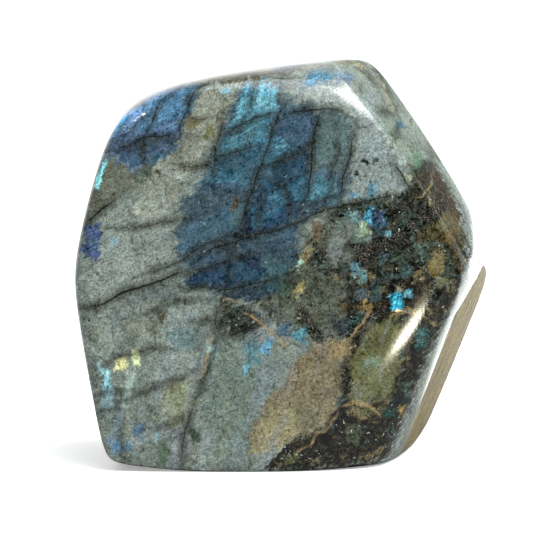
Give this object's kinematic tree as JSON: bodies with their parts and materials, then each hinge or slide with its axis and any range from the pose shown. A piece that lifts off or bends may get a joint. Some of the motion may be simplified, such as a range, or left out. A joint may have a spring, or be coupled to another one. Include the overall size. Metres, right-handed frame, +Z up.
{
  "type": "polished labradorite freeform",
  "caption": "Polished freestanding labradorite stone with a broad domed face, rounded edges, a raw side and a flat sawn base.",
  "frame": {"origin": "on the ground under the middle of the stone's bounding box", "axes": "+Z up, the broad polished face towards -Y, +X to the right of someone who looks at that face"},
  "size_m": [0.1346, 0.064, 0.1299],
  "materials": {
    "labradorite": "polished"
  },
  "bodies": {
    "root": {"stone": "labradorite"}
  },
  "joints": []
}
